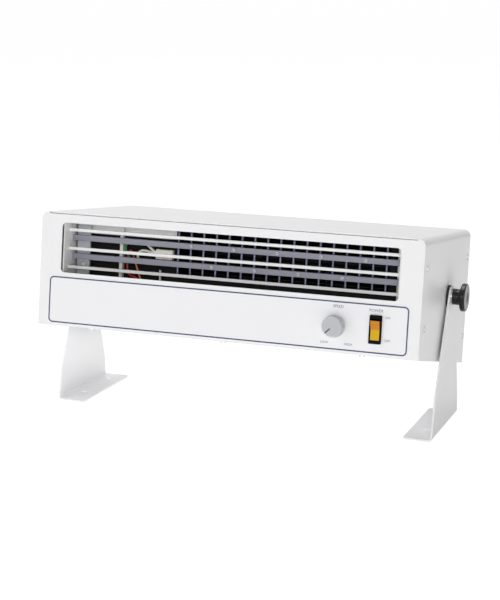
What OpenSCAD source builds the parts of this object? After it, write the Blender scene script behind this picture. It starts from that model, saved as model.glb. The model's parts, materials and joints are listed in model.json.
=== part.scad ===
// Ionizing blower on a tilting stand. Millimetres, +Z up, outlet towards -Y.
// Origin: centre of the four foot holes, on the bench. The tilt axis runs along X straight above it.

/* [Case] */
// Width over the cover
case_w = 440; // [432:1:470]
// Height of the front panel
case_front_h = 128; // [126:1:150]
// Height at the back edge, where the tray has sloped down
case_rear_h = 158; // [152:1:175]
// Depth from the front face to the back edge of the cover
case_depth = 240; // [232:1:290]
// Outer radius of the cover's two bends
bend_r = 8; // [5:0.5:10]
// Steel sheet of cover, tray and panels
sheet_t = 1.5; // [1.2:0.1:1.8]
// Gap between sheets that slide inside one another
sheet_gap = 0.2; // [0.1:0.05:0.4]
// Height of the open seam between front panel and cover
seam_h = 0.6; // [0.4:0.1:1.5]

/* [Tilt] */
// Angle of the case, outlet upwards
case_tilt = 6; // [0:1:12]
// Tilt axis behind the front face
pivot_back = 132; // [126:1:136]
// Tilt axis above the lower front edge
pivot_up = 58; // [54:1:62]

/* [Stand] */
// Height of the tilt axis above the bench
pivot_h = 149; // [149:1:170]
// Steel of the brackets
bracket_t = 2; // [1.5:0.1:2.5]
// Gap between the case and each bracket
side_gap = 3; // [2.8:0.1:4]
// Width of each foot, edge to outer face
foot_w = 33; // [30:1:40]
// Foot in front of the tilt axis
foot_front = 75; // [68:1:80]
// Foot behind the tilt axis
foot_back = 57; // [54:1:70]
// Height of the front knee of the outline
knee_front_h = 45; // [30:1:60]
// How far the front knee stands in from the end of the foot
knee_front_in = 9; // [1:0.5:12]
// Height of the back knee of the outline
knee_back_h = 26; // [16:1:50]
// How far the back knee stands in from the end of the foot
knee_back_in = 3; // [1:0.5:5]
// Radius of the bracket's round top
neck_r = 12; // [10:0.5:13]
// Fixing holes in the feet
foot_hole_d = 7; // [4:0.5:8]
// Distance between the two holes of a foot
foot_hole_spacing = 70; // [60:1:90]
// Hole centres in from the outer face
foot_hole_in = 16; // [13:0.5:22]

/* [Clamps] */
// Stud diameter
stud_d = 6; // [5:0.5:7]
// Hub of the hand knob
hub_d = 18; // [16:0.5:20]
// Length of the hub
hub_l = 9.5; // [8:0.5:16]
// Flange of the hand knob
flange_d = 31.5; // [28:0.5:38]
// Thickness of the flange
flange_t = 6; // [4:0.5:7]
// Friction washer between case and bracket
friction_d = 25; // [22:0.5:28]
// Metal washer under the knob
washer_t = 0.8; // [0.6:0.1:1.6]
// Radial clearance of the stud in what it passes through
stud_play = 0.08; // [0.03:0.01:0.1]

/* [Outlet] */
// Outlet slot in from each side of the case
slot_side = 25; // [22:0.5:28]
// Height of the outlet slot
slot_h = 56; // [54:0.5:58]
// Upper edge of the slot below the top of the case
slot_drop = 11.5; // [10:0.5:13]
// Corner radius of the slot
slot_r = 5; // [2:0.5:8]
// White guard bars across the slot
guard_bars_n = 3; // [2:1:4]
// Distance between guard bars
guard_pitch = 21; // [19:0.5:21.5]
// Lowest guard bar above the slot's lower edge
guard_first = 5.6; // [4:0.1:6.4]
// Height of a guard bar
guard_h = 3.2; // [2.5:0.1:4]
// Depth of a guard bar
guard_depth = 5; // [3:0.5:6]
// Front of the guard bars behind the front face
guard_back = 15; // [12:0.5:17]
// Emitter bars below their guard bars
emitter_drop = 9.2; // [8:0.1:10]
// Height of an emitter bar
emitter_h = 6; // [5:0.5:7]
// Depth of an emitter bar
emitter_depth = 8; // [6:0.5:9]
// Distance between neighbouring emitter points of one bar
point_pitch = 50; // [40:1:54]
// Wires of the earthed grid
grid_n = 17; // [13:1:17]
// Distance between grid wires
grid_pitch = 15; // [13:0.1:15.1]
// Grid wire
wire_d = 2.8; // [2:0.1:3.2]
// Depth of the rails that hold the grid wires
rail_t = 4; // [3.8:0.1:4.5]

/* [Fan] */
// Outer diameter of the impeller
impeller_d = 64; // [58:0.5:66]
// Radial depth of the blades
blade_depth = 7; // [6:0.5:8]
// Sheet of the blades
blade_t = 0.8; // [0.6:0.1:1]
// Blades round the impeller
blade_n = 26; // [20:1:28]
// Clear width between the fan's end plates
fan_w = 246; // [244:1:250]
// Middle of the fan to the right of the case's middle
fan_x = 51; // [48:0.5:54]
// Fan axis behind the front face
fan_back = 118; // [112:1:124]
// Fan axis above the lower front edge
fan_up = 62; // [59:0.5:64]
// Clearance between impeller and end plates
impeller_gap = 3; // [2.5:0.5:5]
// Fan and motor shaft
shaft_d = 6; // [5:0.5:7]

/* [Motor] */
// Width of the laminated core
core_w = 56; // [52:1:60]
// Thickness of the laminated core
core_t = 22; // [18:1:24]
// Rotor diameter
rotor_d = 26; // [24:0.5:28]
// Air gap round the rotor
air_gap = 0.35; // [0.3:0.05:0.5]

/* [Controls] */
// Bare control overlay in from each side of the case
overlay_side = 12.2; // [10:0.2:16]
// Lower edge of the overlay above the lower front edge
overlay_up = 3; // [2.4:0.2:6]
// Upper edge of the overlay below the outlet slot
overlay_gap = 4.4; // [3:0.2:6]
// Thickness of the overlay
overlay_t = 0.4; // [0.2:0.1:0.6]
// Height of the control row
control_up = 29; // [28:0.5:30]
// Speed knob to the right of the middle
speed_x = 127.6; // [115:0.5:132]
// Diameter of the speed knob's skirt
speed_d = 24; // [22:0.5:26]
// Height of the speed knob
speed_l = 12; // [11:0.5:12]
// Power switch to the right of the middle
switch_x = 172.3; // [166:0.5:176]
// Width of the switch bezel
bezel_w = 13.4; // [13:0.1:16]
// Height of the switch bezel
bezel_h = 30.6; // [30:0.1:33]
// Half the swing of the rocker
rocker_swing = 11; // [9:0.5:12]

/* [Back] */
// Intake slot width
intake_w = 4; // [3:0.5:5]
// Intake slot height
intake_h = 34; // [28:1:36]
// Distance between intake slots
intake_pitch = 9; // [8:0.5:11]
// Intake slots in a row
intake_n = 32; // [24:1:34]
// Middle of the lower row of intake slots above the lower front edge
intake_up = 8; // [6:0.5:12]
// Height of the tray's rear lip
lip_h = 14; // [12:0.5:16]

/* [Hidden] */
$fn = 48;

slope = atan((case_rear_h - case_front_h) / case_depth);
cover_front = sheet_t + 0.8;
bracket_in_x = case_w / 2 + side_gap;
bracket_out_x = bracket_in_x + bracket_t;
tray_x = case_w / 2 - sheet_t - sheet_gap;
seam_half = case_w / 2 - bend_r - 1;
slot_w = case_w - 2 * slot_side;
slot_top = case_front_h - slot_drop;
slot_up = slot_top - slot_h;
overlay_w = case_w - 2 * overlay_side;
overlay_h = slot_up - overlay_gap - overlay_up;
grille_back = guard_back + guard_depth + 15;
grille_in = 2;
grille_x = slot_w / 2 - grille_in;
emitter_back = guard_back + guard_depth + 4;
support_y = emitter_back + emitter_depth + 0.1;
support_t = 3.5;
fan_left = fan_x - fan_w / 2;
fan_right = fan_x + fan_w / 2;
duct_front = grille_back + 5;
impeller_r = impeller_d / 2;
impeller_in_r = impeller_r - blade_depth;
rear_y = case_depth - 2 - sheet_t;
head_d = 7;
head_h = 2;
shank_d = 3.8;
hole_d = 4.2;

function floor_z(y) = -(case_rear_h - case_front_h) * y / case_depth;
function tangent_point(p, c, r, side) =
    let (d = norm(c - p), a = atan2(c[1] - p[1], c[0] - p[0]) + side * asin(r / d), l = sqrt(d * d - r * r))
    p + l * [cos(a), sin(a)];

// Frames: the case leans about the tilt axis, and the tray's floor slopes down inside it.
module in_case() {
    translate([0, 0, pivot_h]) rotate([-case_tilt, 0, 0]) translate([0, -pivot_back, -pivot_up]) children();
}
module on_floor() {
    rotate([-slope, 0, 0]) translate([0, 0, sheet_t]) children();
}
module along_y(y0, y1) {
    translate([0, y1, 0]) rotate([90, 0, 0]) linear_extrude(y1 - y0) children();
}
module along_x(x0, x1) {
    translate([x0, 0, 0]) rotate([90, 0, 90]) linear_extrude(x1 - x0) children();
}
module both_sides() {
    children();
    mirror([1, 0, 0]) children();
}
module rod_x(x0, x1, d) {
    translate([x0, 0, 0]) rotate([0, 90, 0]) cylinder(h = x1 - x0, d = d);
}
module rod_y(y0, y1, d) {
    translate([0, y0, 0]) rotate([-90, 0, 0]) cylinder(h = y1 - y0, d = d);
}
module rounded(w, h, r) {
    square([w - 2 * r, h], center = true);
    square([w, h - 2 * r], center = true);
    for (x = [-1, 1], y = [-1, 1]) translate([x * (w / 2 - r), y * (h / 2 - r)]) circle(r);
}

// ---- Stand ----
module bracket_outline() {
    knee_f = [-foot_front + knee_front_in, knee_front_h];
    knee_b = [foot_back - knee_back_in, knee_back_h];
    top = [0, pivot_h];
    polygon([[-foot_front, 0], knee_f, tangent_point(knee_f, top, neck_r, 1), top,
        tangent_point(knee_b, top, neck_r, -1), knee_b, [foot_back, 0]]);
    translate(top) circle(neck_r);
}
module foot_profile() {
    r = 2 * bracket_t;
    translate([bracket_out_x - foot_w, 0]) square([foot_w - r, bracket_t]);
    translate([bracket_in_x, r]) square([bracket_t, pivot_h + neck_r]);
    translate([bracket_out_x - r, r]) intersection() {
        difference() {
            circle(r);
            circle(r - bracket_t);
        }
        translate([0, -r]) square(r);
    }
}
module bracket() {
    difference() {
        intersection() {
            along_y(-foot_front, foot_back) foot_profile();
            union() {
                along_x(bracket_in_x - 0.5, bracket_out_x + 1) bracket_outline();
                translate([0, (foot_back - foot_front) / 2, -1]) linear_extrude(bracket_t + 1)
                    translate([bracket_out_x - foot_w / 2 + 5, 0])
                        rounded(foot_w + 10, foot_front + foot_back, 4);
                translate([bracket_in_x - 2 * bracket_t, -foot_front, 0])
                    cube([2 * bracket_t, foot_front + foot_back, 3 * bracket_t]);
            }
        }
        for (y = [-1, 1]) translate([bracket_out_x - foot_hole_in, y * foot_hole_spacing / 2, -1])
            cylinder(h = bracket_t + 2, d = foot_hole_d);
        translate([0, 0, pivot_h]) rod_x(bracket_in_x - 1, bracket_out_x + 1, stud_d + 2 * stud_play);
    }
}
module bracket_right() {
    color("gainsboro") bracket();
}
module bracket_left() {
    color("gainsboro") mirror([1, 0, 0]) bracket();
}
module friction_washers() {
    color("black") both_sides() translate([0, 0, pivot_h]) difference() {
        rod_x(case_w / 2 + 0.1, bracket_in_x - 0.1, friction_d);
        rod_x(case_w / 2, bracket_in_x, stud_d + 2 * stud_play);
    }
}

// ---- Clamps ----
module clamp_washer() {
    translate([0, 0, pivot_h]) difference() {
        rod_x(bracket_out_x + 0.1, bracket_out_x + 0.1 + washer_t, hub_d - 2);
        rod_x(bracket_out_x, bracket_out_x + washer_t + 1, stud_d + 2 * stud_play);
    }
}
module clamp_washer_right() {
    color("silver") clamp_washer();
}
module clamp_washer_left() {
    color("silver") mirror([1, 0, 0]) clamp_washer();
}
knob_x = bracket_out_x + 0.2 + washer_t;
module clamp_stud() {
    tip = tray_x - sheet_t - 12;
    translate([0, 0, pivot_h]) {
        rod_x(tip + 1, knob_x + hub_l, stud_d);
        translate([tip, 0, 0]) rotate([0, 90, 0]) cylinder(h = 1, d1 = stud_d - 1.6, d2 = stud_d);
    }
}
module clamp_stud_right() {
    color("silver") clamp_stud();
}
module clamp_stud_left() {
    color("silver") mirror([1, 0, 0]) clamp_stud();
}
// The hub widens through a fillet into a flange with rounded rims and a dished outer face.
module clamp_knob_profile() {
    rim = 1.4;
    fillet = 2;
    difference() {
        union() {
            translate([0, 0]) square([hub_d / 2, hub_l + 1]);
            translate([0, hub_l]) square([flange_d / 2 - rim, flange_t]);
            translate([0, hub_l + rim]) square([flange_d / 2, flange_t - 2 * rim]);
            for (y = [rim, flange_t - rim]) translate([flange_d / 2 - rim, hub_l + y]) circle(rim);
            difference() {
                translate([0, hub_l - fillet]) square([hub_d / 2 + fillet, fillet + 1]);
                translate([hub_d / 2 + fillet, hub_l - fillet]) circle(fillet);
            }
        }
        square([stud_d / 2 + 0.02, hub_l + 0.02]);
        translate([0, hub_l + flange_t + 30 - 1]) circle(30);
        translate([hub_d / 2 - 0.8, -1]) rotate(-45) square(3);
    }
}
module clamp_knob() {
    translate([knob_x, 0, pivot_h]) rotate([0, 90, 0]) rotate_extrude($fn = 96) clamp_knob_profile();
}
module clamp_knob_right() {
    color([0.08, 0.08, 0.08]) clamp_knob();
}
module clamp_knob_left() {
    color([0.08, 0.08, 0.08]) mirror([1, 0, 0]) clamp_knob();
}
module weld_nuts() {
    color("silver") in_case() both_sides() translate([0, pivot_back, pivot_up]) difference() {
        translate([tray_x - sheet_t - 6, 0, 0]) rotate([0, 90, 0]) cylinder(h = 6, d = 1.9 * stud_d, $fn = 6);
        rod_x(0, case_w / 2, stud_d + 2 * stud_play);
    }
}

// ---- Case ----
screw_drop = 32;
side_screw_yz = [[18, case_front_h - screw_drop], [20, floor_z(20) + 34],
    [case_depth - 10, case_front_h - screw_drop], [case_depth - 10, floor_z(case_depth - 10) + 32]];
module side_holes(d) {
    for (s = side_screw_yz) translate([0, s[0], s[1]]) rod_x(tray_x - 10, case_w / 2 + 5, d);
}
module arch(w, top, r) {
    translate([-w / 2, -60]) square([w, top + 60 - r]);
    translate([-w / 2 + r, 0]) square([w - 2 * r, top]);
    for (x = [-1, 1]) translate([x * (w / 2 - r), top - r]) circle(r);
}
module cover() {
    color("white") in_case() difference() {
        union() {
            intersection() {
                along_y(cover_front, case_depth) difference() {
                    arch(case_w, case_front_h, bend_r);
                    arch(case_w - 2 * sheet_t, case_front_h - sheet_t, bend_r - sheet_t);
                }
                along_x(-case_w, case_w) polygon([[0, floor_z(0)], [case_depth, floor_z(case_depth)],
                    [case_depth, case_front_h + 1], [0, case_front_h + 1]]);
            }
            translate([-seam_half + 0.5, 0.6, case_front_h - sheet_t])
                cube([2 * seam_half - 1, cover_front, sheet_t]);
        }
        both_sides() side_holes(hole_d);
        both_sides() translate([0, pivot_back, pivot_up]) rod_x(tray_x, case_w / 2 + 1, stud_d + 2 * stud_play);
    }
}
module tray_section() {
    r = 2 * sheet_t;
    difference() {
        translate([0, 75]) rounded(2 * tray_x, 150, r);
        translate([0, 75 + sheet_t]) rounded(2 * (tray_x - sheet_t), 150, r - sheet_t);
        translate([-case_w, 140]) square([2 * case_w, 20]);
    }
}
module bottom_tray() {
    y0 = sheet_t + sheet_gap;
    y1 = rear_y - sheet_gap;
    wall_top = case_front_h - 14;
    color("white") in_case() difference() {
        union() {
            intersection() {
                rotate([-slope, 0, 0]) along_y(-60, case_depth + 60) tray_section();
                along_x(-case_w, case_w) polygon([[y0, -60], [y1, -60], [y1, wall_top], [y0 + 60, wall_top],
                    [y0 + 45, wall_top - 8], [y0, wall_top - 8]]);
            }
            // Rear lip, turned up from the floor
            translate([-tray_x + 6, y1 - sheet_t, floor_z(y1) + 0.1]) cube([2 * tray_x - 12, sheet_t, lip_h]);
        }
        both_sides() side_holes(hole_d);
        both_sides() translate([0, pivot_back, pivot_up]) rod_x(0, case_w / 2, stud_d + 2 * stud_play);
        bottom_screw_places() cylinder(h = 20, d = hole_d, center = true);
        foot_screw_places() cylinder(h = 20, d = hole_d, center = true);
        rear_screw_places() rod_y(-8, 4, hole_d);
        transformer_screw_places() cylinder(h = 20, d = shank_d + 0.1, center = true);
    }
}
module bottom_screw_places() {
    for (x = [-157, 0, 157]) on_floor() translate([x, 9, 0]) children();
}
module foot_screw_places() {
    for (x = [fan_left - sheet_t - 6, fan_right + sheet_t + 6], s = [fan_back - 40, fan_back + 20])
        on_floor() translate([x, s, 0]) children();
}
module front_outline() {
    difference() {
        intersection() {
            arch(case_w, case_front_h, bend_r);
            translate([-case_w, 0]) square([2 * case_w, 2 * case_front_h]);
        }
        translate([-seam_half, case_front_h - sheet_t - seam_h]) square([2 * seam_half, 20]);
        for (x = [-1, 1]) translate([x * seam_half, case_front_h - sheet_t - seam_h / 2]) circle(d = seam_h + 0.4);
    }
}
module front_panel() {
    flange_z = case_front_h - sheet_t - seam_h;
    color("white") in_case() difference() {
        union() {
            along_y(0, sheet_t) front_outline();
            translate([-seam_half + 4, 0, flange_z - sheet_t]) cube([2 * seam_half - 8, 14, sheet_t]);
            intersection() {
                on_floor() translate([-tray_x + 5, 0, 0.05]) cube([2 * tray_x - 10, 16, sheet_t]);
                translate([-case_w, 0, -10]) cube([2 * case_w, 30, 30]);
            }
            translate([-tray_x + 5, 0, 0]) cube([2 * tray_x - 10, sheet_t, 4]);
        }
        translate([0, 0, slot_up + slot_h / 2]) along_y(-1, sheet_t + 1) rounded(slot_w, slot_h, slot_r);
        translate([speed_x, 0, control_up]) rod_y(-1, sheet_t + 1, bushing_d + 0.2);
        translate([switch_x, 0, control_up]) along_y(-1, sheet_t + 1)
            square([bezel_w - 2.8, bezel_h - 2.4], center = true);
        bottom_screw_places() cylinder(h = 20, d = shank_d + 0.1, center = true);
    }
}
module control_overlay() {
    color("whitesmoke") in_case() difference() {
        translate([0, 0, overlay_up + overlay_h / 2]) along_y(-overlay_t, 0) rounded(overlay_w, overlay_h, 5);
        translate([speed_x, 0, control_up]) rod_y(-1, 1, nut_d + 1);
        translate([switch_x, 0, control_up]) along_y(-1, 1)
            square([bezel_w - 2.8, bezel_h - 2.4], center = true);
    }
}
module rear_outline() {
    w = case_w - 2 * sheet_t - 2 * sheet_gap;
    top = case_front_h - sheet_t - sheet_gap;
    low = floor_z(rear_y) + sheet_t + sheet_gap + 0.3;
    intersection() {
        arch(w, top, bend_r - sheet_t - sheet_gap);
        translate([-w, low]) square([2 * w, 300]);
    }
}
socket_x = 172;
socket_z = 20;
fuse_x = 135;
module intake_pattern() {
    for (row = [0, 1], i = [0:intake_n - 1])
        translate([(i - (intake_n - 1) / 2) * intake_pitch - 45, intake_up + row * (intake_h + 8)]) {
            square([intake_w, intake_h - intake_w], center = true);
            for (s = [-1, 1]) translate([0, s * (intake_h - intake_w) / 2]) circle(intake_w / 2);
        }
}
module rear_panel() {
    top = case_front_h - sheet_t - sheet_gap;
    color("white") in_case() difference() {
        union() {
            along_y(rear_y, rear_y + sheet_t) rear_outline();
            translate([-tray_x + 20, rear_y - 12, top - sheet_t]) cube([2 * tray_x - 40, 13, sheet_t]);
        }
        along_y(rear_y - 1, rear_y + sheet_t + 1) intake_pattern();
        translate([socket_x, 0, socket_z]) along_y(rear_y - 1, rear_y + sheet_t + 1) rounded(28, 21, 3);
        translate([fuse_x, 0, socket_z]) rod_y(rear_y - 1, rear_y + sheet_t + 1, 12.4);
        rear_screw_places() rod_y(-8, 4, shank_d + 0.1);
    }
}
module rear_screw_places() {
    for (x = [-180, -60, 60, 180]) translate([x, rear_y, floor_z(rear_y) + lip_h - 5.5]) children();
}

// ---- Outlet: guard bars, emitters and earthed grid ----
module outlet_grille() {
    low = slot_up - 6;
    high = slot_top + 6;
    front = sheet_t + 2.5;
    color("white") in_case() {
        for (i = [0:guard_bars_n - 1])
            translate([-grille_x - 1, guard_back, guard_z(i) - guard_h / 2])
                cube([2 * grille_x + 2, guard_depth, guard_h]);
        both_sides() {
            translate([grille_x, front, low]) cube([sheet_t, grille_back - front, high - low]);
            for (z = [low, slot_top + 1]) translate([grille_x, sheet_t, z]) {
                cube([sheet_t, front, 5]);
                cube([13, sheet_t, 5]);
            }
        }
    }
}
function guard_z(i) = slot_up + guard_first + i * guard_pitch;
// Each emitter bar hangs just under a guard bar, behind it.
module emitter_bar(i) {
    z = guard_z(i) - emitter_drop;
    translate([0, 0, z]) difference() {
        translate([-grille_x + 0.1, emitter_back, -emitter_h / 2])
            cube([2 * grille_x - 0.2, emitter_depth, emitter_h]);
        point_places(i) rod_y(-1, 4.05, 1.24);
    }
}
module point_places(i) {
    first = fan_x - 1.5 * point_pitch - (i == 2 ? 0.5 * point_pitch : 0);
    for (k = [0:(i == 2 ? 4 : 3)]) translate([first + k * point_pitch, emitter_back, 0]) children();
}
module emitter_bar_upper() {
    color("slategray") in_case() emitter_bar(2);
}
module emitter_bar_lower() {
    color("slategray") in_case() emitter_bar(1);
}
// A post behind the two emitter bars.
module emitter_support(x0, x1) {
    translate([x0, support_y, slot_up - 3]) cube([x1 - x0, support_t, slot_h + 6]);
}
module emitter_support_left() {
    color("lightgray") in_case() emitter_support(-slot_w / 2 + 19, -slot_w / 2 + 34);
}
module emitter_support_right() {
    color("white") in_case() emitter_support(grille_x - 8.6, grille_x - 0.1);
}
module emitter_points() {
    color("silver") in_case() for (i = [1, 2]) translate([0, 0, guard_z(i) - emitter_drop]) point_places(i) {
        rod_y(-3, 4, 1.2);
        translate([0, -3, 0]) rotate([90, 0, 0]) cylinder(h = 3, d1 = 1.2, d2 = 0.2);
    }
}
rail_low = slot_up - 1 - rail_t;
rail_high = slot_top + 1;
module wire_places() {
    for (i = [0:grid_n - 1])
        translate([fan_x + (i - (grid_n - 1) / 2) * grid_pitch, duct_front - rail_t / 2 - 0.1, 0]) children();
}
module earth_rails() {
    half = fan_w / 2 + sheet_t + 6;
    color("lightsteelblue") in_case() difference() {
        for (z = [rail_low, rail_high]) translate([fan_x - half, duct_front - rail_t - 0.1, z])
            cube([2 * half, rail_t, rail_t]);
        wire_places() translate([0, 0, rail_low + 1]) cylinder(h = rail_high - rail_low + 2, d = wire_d + 0.1);
    }
}
module earth_wires() {
    color("lightsteelblue") in_case() wire_places() translate([0, 0, rail_low + 1.1])
        cylinder(h = rail_high - rail_low + 1.8, d = wire_d);
}
module bar_brace() {
    color("white") in_case() translate([-slot_w / 2 + 57.3, support_y, slot_up - 3]) cube([3.5, 6, slot_h + 6]);
}
// A black sheet closes the part of the outlet beside the fan, and steps over the fan's own flange.
module outlet_baffle() {
    x0 = -grille_x + 1;
    x1 = fan_left - sheet_t - 2;
    foot_x = fan_left - 12.3;
    y = duct_front + sheet_t + 0.1;
    low = floor_z(y) + sheet_t + 0.5;
    color("black") in_case() {
        along_y(y, y + 1) polygon([[x0, low], [foot_x, low], [foot_x, low + 4], [x1, low + 4],
            [x1, slot_top + 5], [x0, slot_top + 5]]);
        intersection() {
            on_floor() translate([x0 + 4, 0, 0.1]) cube([foot_x - x0 - 8, 80, sheet_t]);
            translate([x0, y + 0.5, low - 30]) cube([foot_x - x0, 12, 60]);
        }
    }
}
// A white angle under the cover, in front of the baffle and the fan's left end plate.
module baffle_bracket() {
    x0 = -slot_w / 2 + 17;
    x1 = fan_left - 0.2;
    notch = fan_left - sheet_t - 12.5;
    top = case_front_h - sheet_t - 0.2;
    front = duct_front - 0.1 - sheet_t;
    color("white") in_case() {
        along_y(front, front + sheet_t) polygon([[x0, slot_top - 12.5], [x1, slot_top - 12.5],
            [x1, slot_top + 0.5], [notch, slot_top + 0.5], [notch, top], [x0, top]]);
        translate([x0, front, top - sheet_t]) cube([notch - x0, 12, sheet_t]);
    }
}

// ---- Fan ----
module end_plate(shaft_hole) {
    back = fan_back + 46;
    low_front = floor_z(duct_front) + sheet_t;
    low_back = floor_z(back) + sheet_t;
    difference() {
        union() {
            along_x(fan_right, fan_right + sheet_t) polygon([[duct_front, low_front + 1], [back, low_back + 1],
                [back, fan_up + 30], [fan_back + 30, slot_top + 6], [duct_front, slot_top + 6]]);
            translate([fan_right, duct_front, low_front + 14])
                cube([12, sheet_t, slot_top + 6 - low_front - 14]);
            intersection() {
                on_floor() translate([fan_right, 0, 0.05]) cube([12, 300, sheet_t]);
                translate([-case_w, duct_front, -100]) cube([2 * case_w, back - duct_front, 200]);
            }
        }
        translate([0, fan_back, fan_up]) rod_x(fan_right - 1, fan_right + sheet_t + 1, shaft_hole);
        foot_screw_places() cylinder(h = 20, d = shank_d + 0.1, center = true);
    }
}
module fan_end_plate_left() {
    color("black") in_case() translate([2 * fan_x, 0, 0]) mirror([1, 0, 0]) end_plate(16);
}
module fan_end_plate_right() {
    color("black") in_case() end_plate(22);
}
// The scroll starts close behind the impeller and opens towards the top of the duct.
scroll_start = -35;
scroll_r0 = impeller_r + 2.6;
scroll_r1 = slot_top + 1 - fan_up;
function scroll_r(a) = scroll_r0 * exp(ln(scroll_r1 / scroll_r0) * (a - scroll_start) / (90 - scroll_start));
function scroll_point(a, t) = [fan_back + (scroll_r(a) + t) * cos(a), fan_up + (scroll_r(a) + t) * sin(a)];
module fan_scroll() {
    step = 5;
    inner = [for (a = [scroll_start:step:90]) scroll_point(a, 0)];
    outer = [for (a = [90:-step:scroll_start]) scroll_point(a, 1)];
    lip = scroll_point(scroll_start, 0);
    color("black") in_case() along_x(fan_left + 0.1, fan_right - 0.1) {
        polygon(concat([[duct_front, fan_up + scroll_r1]], [for (i = [len(inner) - 1:-1:0]) inner[i]],
            [for (i = [len(outer) - 1:-1:0]) outer[i]], [[duct_front, fan_up + scroll_r1 + 1]]));
        translate(lip) rotate(scroll_start) translate([0, -8]) square([1, 8.01]);
    }
}
module fan_tongue() {
    nose = 4;
    face_y = fan_back - impeller_r - 3;
    top = slot_up - 0.2;
    color("black") in_case() along_x(fan_left + 0.1, fan_right - 0.1) {
        translate([duct_front, top - 1]) square([face_y - nose - duct_front, 1]);
        translate([face_y - 1, top - nose - 12]) square([1, 12]);
        translate([face_y - nose, top - nose]) intersection() {
            difference() {
                circle(nose);
                circle(nose - 1);
            }
            square(nose);
        }
    }
}
// Forward-curved blade: an arc that leaves the inner edge almost radially.
module blade() {
    r = blade_depth;
    cx = impeller_in_r + 2;
    intersection() {
        translate([cx, 0]) difference() {
            circle(r + blade_t / 2);
            circle(r - blade_t / 2);
        }
        difference() {
            circle(impeller_r - 0.05);
            circle(impeller_in_r);
        }
        translate([0, r / 3]) square([impeller_d, r]);
    }
}
module impeller() {
    x0 = fan_left + impeller_gap;
    x1 = fan_right - impeller_gap;
    disc_t = 1.5;
    color("dimgray") in_case() translate([0, fan_back, fan_up]) difference() {
        union() {
            along_x(x0 + 0.5, x1 - 0.5) for (i = [0:blade_n - 1]) rotate(i * 360 / blade_n) blade();
            for (x = [x0, x1 - disc_t]) rod_x(x, x + disc_t, impeller_d);
            for (k = [1, 2]) difference() {
                rod_x(x0 + k * (x1 - x0) / 3 - 0.6, x0 + k * (x1 - x0) / 3 + 0.6, impeller_d);
                rod_x(x0, x1, 2 * impeller_in_r - 2);
            }
            rod_x(x0, x0 + 12, shaft_d + 10);
            rod_x(x1 - 12, x1, shaft_d + 10);
        }
        rod_x(x0 - 1, x0 + 11, shaft_d + 0.04);
        rod_x(x1 - 11, x1 + 1, shaft_d + 0.04);
    }
}
motor_x = fan_left - 33;
module fan_shafts() {
    color("silver") in_case() translate([0, fan_back, fan_up]) {
        rod_x(motor_x - core_t / 2 - 18, fan_left + impeller_gap + 10.9, shaft_d);
        rod_x(fan_right - impeller_gap - 10.9, fan_right + 14, shaft_d);
    }
}
module bearing_bush() {
    color("goldenrod") in_case() translate([0, fan_back, fan_up]) difference() {
        rod_x(fan_right - 1, fan_right + 9, 11);
        rod_x(fan_right - 2, fan_right + 10, shaft_d + 0.12);
    }
}
module bush_mount() {
    color("black") in_case() translate([0, fan_back, fan_up]) difference() {
        union() {
            rod_x(fan_right - 0.5, fan_right + sheet_t + 0.5, 21.9);
            rod_x(fan_right + sheet_t + 0.05, fan_right + sheet_t + 3, 27);
            rod_x(fan_right - 2.4, fan_right - 0.05, 27);
            rod_x(fan_right - 2.4, fan_right + 8, 16);
        }
        rod_x(fan_right - 5, fan_right + 12, 11.04);
    }
}

// ---- Motor ----
limb_low = fan_up - 46;
limb_h = 12;
window_h = 16;
module motor_core() {
    color("gray") in_case() translate([0, fan_back, 0]) along_x(motor_x - core_t / 2, motor_x + core_t / 2)
        difference() {
            translate([0, (limb_low + fan_up + 22) / 2]) rounded(core_w, fan_up + 22 - limb_low, 3);
            translate([0, fan_up]) circle(rotor_d / 2 + air_gap);
            translate([-core_w / 2 + 11, limb_low + limb_h]) square([core_w - 22, window_h]);
            for (s = [-1, 1]) translate([s * (core_w / 2 - 6), fan_up]) circle(d = 4.1);
        }
}
module motor_coil() {
    w = core_w - 24;
    color("sienna") in_case() translate([motor_x, fan_back, limb_low + limb_h / 2]) difference() {
        union() {
            along_y(-w / 2 + 1.5, w / 2 - 1.5) rounded(core_t + 16, limb_h + 16, 5);
            for (y = [-w / 2, w / 2 - 1.5]) along_y(y, y + 1.5) rounded(core_t + 20, limb_h + 19, 2);
        }
        cube([core_t + 0.3, core_w, limb_h + 0.3], center = true);
    }
}
module motor_rotor() {
    color("silver") in_case() translate([motor_x, fan_back, fan_up]) difference() {
        union() {
            rod_x(-core_t / 2, core_t / 2, rotor_d);
            for (x = [-core_t / 2 - 2.5, core_t / 2]) rod_x(x, x + 2.5, rotor_d - 3);
        }
        rod_x(-core_t, core_t, shaft_d + 0.04);
    }
}
// A bridge with a bearing boss, on two pillars of the core.
module motor_bracket(side) {
    plate_x = core_t / 2 + 8;
    translate([motor_x, fan_back, fan_up]) mirror([side < 0 ? 1 : 0, 0, 0]) difference() {
        union() {
            along_x(plate_x, plate_x + 2.5) rounded(core_w, 16, 5);
            for (s = [-1, 1]) translate([0, s * (core_w / 2 - 6), 0]) rod_x(core_t / 2, plate_x + 1, 8);
            rod_x(plate_x - 3, plate_x + 6, 14);
        }
        rod_x(0, plate_x + 20, shaft_d + 0.12);
        for (s = [-1, 1]) translate([0, s * (core_w / 2 - 6), 0]) rod_x(0, plate_x + 5, 3.4);
    }
}
module motor_bracket_inner() {
    color("silver") in_case() {
        motor_bracket(1);
        // Two legs carry the motor on the fan's end plate.
        for (s = [-1, 1]) translate([0, fan_back + s * (core_w / 2 - 6), fan_up])
            difference() {
                rod_x(motor_x + core_t / 2 + 10, fan_left - sheet_t, 7);
                rod_x(motor_x, fan_left, 3.4);
            }
    }
}
module motor_bracket_outer() {
    color("silver") in_case() motor_bracket(-1);
}
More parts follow.
